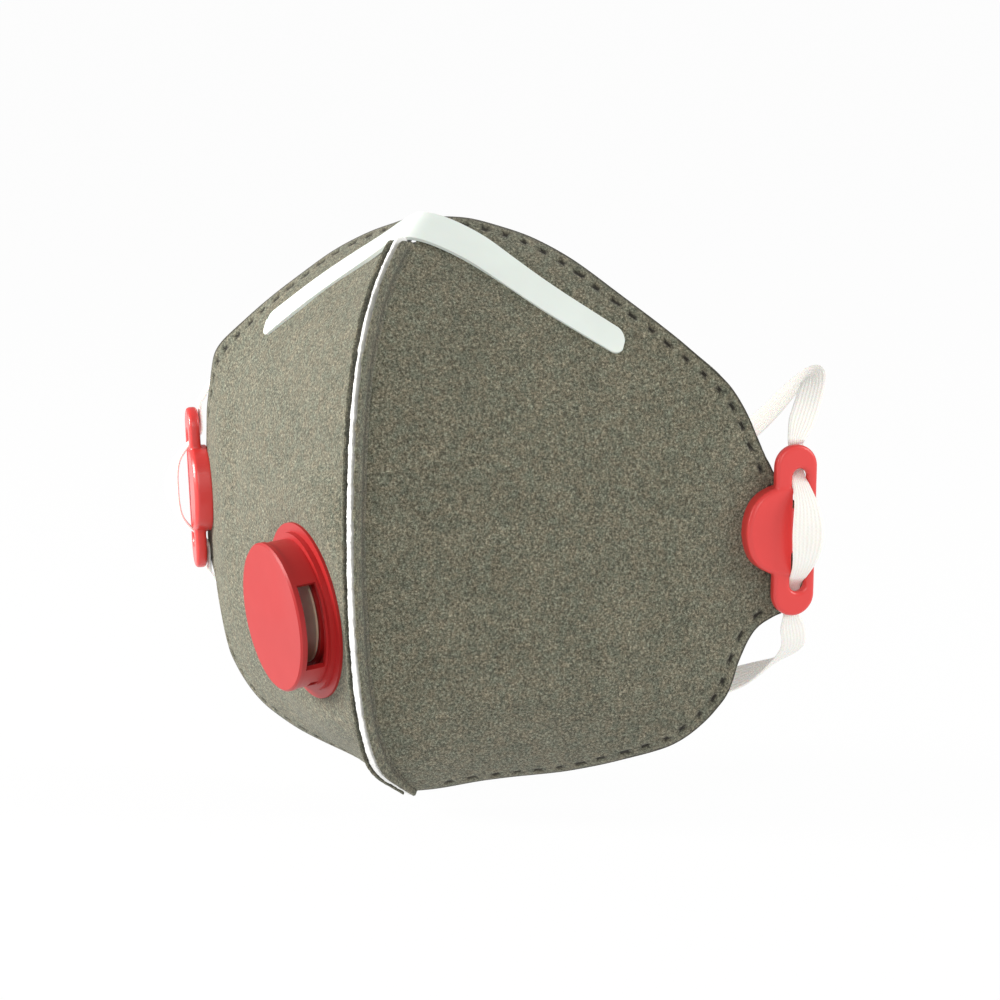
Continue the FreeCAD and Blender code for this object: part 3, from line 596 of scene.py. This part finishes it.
def inner_sheet(side, hand, node, name, start, thick, material):
    xx, zeta = panel_grid(110, 150, 2.4)
    z = zeta * edge_height(xx, zeta >= 0) * 0.997
    mid = np.full(xx.shape, start)
    flat, _ = surface_points(xx, z, mid, side)
    soft = wander(xx, z, 30.0, 31 + side) * 0.04
    points, _ = surface_points(xx, z, mid + soft, side)
    tab = local(flat, BUCKLE_M[side])
    keep = np.hypot(tab[..., 0], tab[..., 1]) > 0.0022
    if side < 0:
        spot = local(flat, VALVE_M)
        keep &= np.hypot(spot[..., 0], spot[..., 1]) > 0.0158
    obj = make_mesh(f"{name}_{hand}", points.reshape(-1, 3) * MM, grid_faces(*xx.shape, keep, side > 0),
                    material, "mask")
    solidify(obj, thick * MM)
    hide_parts(node)


for side, hand in ((1, "right"), (-1, "left")):
    felt_panel(side, hand)
    inner_sheet(side, hand, f"filter_layer_{hand}", "filter_sheet", 0.85, 0.5, FILTER)
    inner_sheet(side, hand, f"inner_lining_{hand}", "lining_sheet", 1.5, 0.3, LINING)


def seam_core():
    """The welded white margins between the two felts: a ragged edge just proud of the cut felt."""
    rows, ring = 700, 13
    zeta = np.linspace(-1, 0.925, rows)
    z = zeta * edge_height(0 * zeta, zeta >= 0)
    n = seam_normal(z)
    root = depth(0 * z, z, False) - DEPTH
    reach = flange_reach(np.minimum(zeta, 0.88)) * (1 - 0.6 * ramp(zeta, 0.9, 0.925))
    ragged = 0.10 * wander(z, z * 0, 5.0, 3) + 0.07 * wander(z, z * 0, 1.4, 4)
    half = (0.37 + 0.37 * ramp(-zeta, -0.75, 0.3) + 0.12 * wander(z, z * 0 + 5, 7.0, 6)
            + 0.12 * wander(z, z * 0, 1.1, 8))
    verts = []
    for k in range(ring):
        angle = math.pi * k / (ring - 1)
        across = -math.copysign(abs(math.cos(angle)) ** 0.5, math.cos(angle)) * half
        ahead = reach + 0.05 + ragged + (math.sin(angle) - 0.5) * 0.16
        if k in (0, ring - 1):
            ahead = -2.5 + 0 * z
        verts.append(np.stack([across, root + n[:, 0] * ahead, z + n[:, 1] * ahead], -1))
    verts = np.array(verts)
    faces = grid_faces(ring, rows)
    closing = [(j, j + 1, (ring - 1) * rows + j + 1, (ring - 1) * rows + j) for j in range(rows - 1)]
    ends = [tuple(k * rows for k in range(ring)), tuple(k * rows + rows - 1 for k in reversed(range(ring)))]
    obj = make_mesh("seam_edge", verts.reshape(-1, 3) * MM, faces + closing + ends, FILTER, "mask")
    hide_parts("seam_weld")


seam_core()


# ---------------------------------------------------------------- elastic
def band(name, path, ups, width, thick, material, body):
    """Flat elastic along a path, with `ups` across its face, as a closed mesh with rounded edges."""
    path, ups = np.asarray(path, float), np.asarray(ups, float)
    tangent = np.gradient(path, axis=0)
    tangent /= np.linalg.norm(tangent, axis=1)[:, None]
    across = ups - (ups * tangent).sum(1)[:, None] * tangent
    across /= np.linalg.norm(across, axis=1)[:, None]
    out = np.cross(tangent, across)
    length = np.concatenate([[0], np.cumsum(np.linalg.norm(np.diff(path, axis=0), axis=1))])
    ring = 20
    verts, uvs = [], []
    for k in range(ring):
        a = math.tau * k / ring
        c, s = math.cos(a), math.sin(a)
        u = math.copysign(abs(c) ** 0.35, c) * np.reshape(width, (-1, 1)) / 2
        v = math.copysign(abs(s) ** 0.6, s) * thick / 2
        verts.append(path + across * u + out * v)
        uvs.append(np.stack([np.full(len(path), math.copysign(abs(c) ** 0.35, c) * STRAP_W / 2), length], -1))
    verts, uvs = np.array(verts), np.array(uvs)
    count = len(path)
    faces = []
    for k in range(ring):
        m = (k + 1) % ring
        for j in range(count - 1):
            faces.append((k * count + j, m * count + j, m * count + j + 1, k * count + j + 1))
    faces.append(tuple(k * count for k in reversed(range(ring))))
    faces.append(tuple(k * count + count - 1 for k in range(ring)))
    return make_mesh(name, verts.reshape(-1, 3), faces, material, body, uvs.reshape(-1, 2)), length[-1]


def spline(points, count):
    """Evenly spaced points on a smooth curve through the given ones."""
    p = np.asarray(points, float)
    chord = np.concatenate([[0], np.cumsum(np.sqrt(np.linalg.norm(np.diff(p, axis=0), axis=1)))])
    dense = []
    for i in range(len(p) - 1):
        p0, p3 = p[max(i - 1, 0)], p[min(i + 2, len(p) - 1)]
        t0 = (p[i + 1] - p0) / max(chord[i + 1] - chord[max(i - 1, 0)], 1e-9) * (chord[i + 1] - chord[i])
        t1 = (p3 - p[i]) / max(chord[min(i + 2, len(p) - 1)] - chord[i], 1e-9) * (chord[i + 1] - chord[i])
        u = np.linspace(0, 1, 60, endpoint=i == len(p) - 2)[:, None]
        dense.append(p[i] * (2 * u ** 3 - 3 * u ** 2 + 1) + t0 * (u ** 3 - 2 * u ** 2 + u)
                     + p[i + 1] * (3 * u ** 2 - 2 * u ** 3) + t1 * (u ** 3 - u ** 2))
    dense = np.concatenate(dense)
    s = np.concatenate([[0], np.cumsum(np.linalg.norm(np.diff(dense, axis=0), axis=1))])
    even = np.linspace(0, s[-1], count)
    return np.stack([np.interp(even, s, dense[:, k]) for k in range(3)], -1)


STRAP_W, STRAP_T = 0.0065, 0.0009     # metres
SLOT_W, LOOP_W = 0.0041, 0.0078       # width of the elastic in the slot and over the bar, metres
RING_LENGTH = 43.0
LOOP_END = RING_LENGTH / 2 + 1.2
for side, hand in ((1, "right"), (-1, "left")):
    m = BUCKLE_M[side]
    rising = [(-LOOP_END, 1.0), (-19.5, 1.0), (-15.4, 1.1), (-13.4, 2.3), (-11.2, 5.0), (-7.6, 7.9),
              (-3.6, 9.3)]
    local_path = rising + [(0, 9.7)] + [(-y, z) for y, z in reversed(rising)]
    flat = np.array(spline([(0, y, z) for y, z in local_path], 300))
    # bunched where it passes the slot, spread out and leaning outwards over the bar
    spread = np.clip(1 - np.abs(flat[:, 1]) / 13.0, 0, 1)
    spread = spread * spread * (3 - 2 * spread)
    shift = 0.2 * spread
    points = np.array([tuple(m @ (Vector((side * (RING_AT + d), y, z)) * MM))
                       for d, (_, y, z) in zip(shift, flat)])
    ups = np.array([tuple(m.to_3x3() @ Vector((side, 0, 0.36 * w))) for w in spread])
    width = SLOT_W + (LOOP_W - SLOT_W) * spread ** 0.7
    loop, _ = band(f"strap_loop_band_{hand}", points, ups, width, STRAP_T, ELASTIC, f"buckle_{hand}")
    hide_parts(f"strap_loop_{hand}")

# the runs' corners from the loop's end to near the middle: inwards, back and up, in millimetres
UPPER_PATH = [(1, 9, 9), (5, 22, 15), (16, 36, 12), (32, 45, -2), (55, 50, -18), (77, 52, -27)]
LOWER_PATH = [(0.5, 7, -9), (14, 12, -16), (36, 18, -24), (59, 23, -30), (75, 25, -32.5)]
for which, up, steps in (("upper", 1, UPPER_PATH), ("lower", -1, LOWER_PATH)):
    halves = []
    for side, hand in ((1, "right"), (-1, "left")):
        m = BUCKLE_M[side]
        first = m @ (Vector((side * RING_AT, up * LOOP_END, 1.0)) * MM)
        lead = m @ (Vector((side * RING_AT, up * (LOOP_END - 1.5), 1.0)) * MM)
        knots = [lead, first]
        corners = [first]
        for x, y, z in steps:
            corners.append(Vector((first.x - side * x * MM, first.y + y * MM, first.z + z * MM)))
        corners.append(Vector((-corners[-1].x, corners[-1].y, corners[-1].z)))
        for a, b, c in zip(corners, corners[1:], corners[2:]):
            knots.append(b * 0.6 + (a + c) * 0.2)
        knots.append(Vector((0, corners[-1].y, corners[-1].z)))
        points = spline([tuple(k) for k in knots], 420)
        start_up = np.array(m.to_3x3() @ Vector((side, 0, 0)))
        share = np.linspace(0, 1, len(points))[:, None]
        # a slack band lies on edge, its face turned to the back, once it is clear of the buckle
        lying = np.tile(np.array([0.0, 0.25, 0.97]), (len(points), 1))
        turn = np.clip((share - 0.02) * 2.2, 0, 1)
        turn = turn * turn * (3 - 2 * turn)
        ups = start_up * (1 - turn) + lying * turn
        widen = np.clip(share[:, 0] * 18, 0, 1)
        width = SLOT_W + (STRAP_W - SLOT_W) * widen * widen * (3 - 2 * widen)
        obj, length = band(f"headband_{which}_{hand}", points, ups, width, STRAP_T, ELASTIC, None)
        halves.append((obj, hand, points))
    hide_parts(f"headband_{which}")
    for obj, hand, points in halves:
        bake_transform(obj)


# ---------------------------------------------------------------- hard parts shown from the CAD
def dress(node, material, bevel=0.0, segments=3):
    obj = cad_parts[node]
    obj.data.materials.clear()
    obj.data.materials.append(material)
    obj.data.shade_smooth()
    if bevel:
        mod = obj.modifiers.new("softened", "BEVEL")
        mod.width = bevel
        mod.segments = segments
        mod.limit_method = "ANGLE"
        mod.angle_limit = math.radians(32)
        mod.harden_normals = True
    return obj


def rounded(obj):
    """Softens every edge of a moulding by remeshing it finely and relaxing it."""
    mesh = obj.modifiers.new("fine", "REMESH")
    mesh.mode = "VOXEL"
    mesh.voxel_size = 0.00022
    mesh.use_smooth_shade = True
    relax = obj.modifiers.new("relaxed", "SMOOTH")
    relax.factor = 0.5
    relax.iterations = 14


for node in ("valve_base", "valve_cover", "valve_backing_ring"):
    dress(node, VALVE_RED_SHADED, 0.00022)
for hand in ("left", "right"):
    rounded(dress(f"buckle_{hand}", BUCKLE_RED))
    dress(f"buckle_backing_{hand}", BUCKLE_RED, 0.00025)
dress("valve_diaphragm", SILICONE, 0.00008, 2)
dress("nose_clip", CLIP, 0.0002)
dress("nose_foam", FOAM, 0.0006)

# ---------------------------------------------------------------- floor
HALF_FLOOR, NEAR_END, FAR_END = 60, -4, 90      # metres, out to where the floor meets the white
FLOOR_GLOW = 0.965                              # share of the floor's look that its own glow makes
floor_z = cad_low.z - 0.004
floor_corners = [(-HALF_FLOOR, NEAR_END, floor_z), (HALF_FLOOR, NEAR_END, floor_z),
                 (HALF_FLOOR, FAR_END, floor_z), (-HALF_FLOOR, FAR_END, floor_z)]
floor_mesh = bpy.data.meshes.new("floor")
floor_mesh.from_pydata(floor_corners, [], [(0, 1, 2, 3)])
floor = bpy.data.objects.new("floor", floor_mesh)
scene.collection.objects.link(floor)
white = bpy.data.materials.new("floor_white")
white.use_nodes = True
fn, fl = white.node_tree.nodes, white.node_tree.links
glow = fn.new("ShaderNodeEmission")
glow.inputs[0].default_value = WHITE
glow.inputs[1].default_value = 1.0
blend_node = fn.new("ShaderNodeMixShader")
blend_node.inputs[0].default_value = FLOOR_GLOW
fn["Principled BSDF"].inputs["Base Color"].default_value = (0.95, 0.95, 0.95, 1)
fl.new(fn["Principled BSDF"].outputs[0], blend_node.inputs[1])
fl.new(glow.outputs[0], blend_node.inputs[2])
fl.new(blend_node.outputs[0], fn["Material Output"].inputs[0])
floor_mesh.materials.append(white)
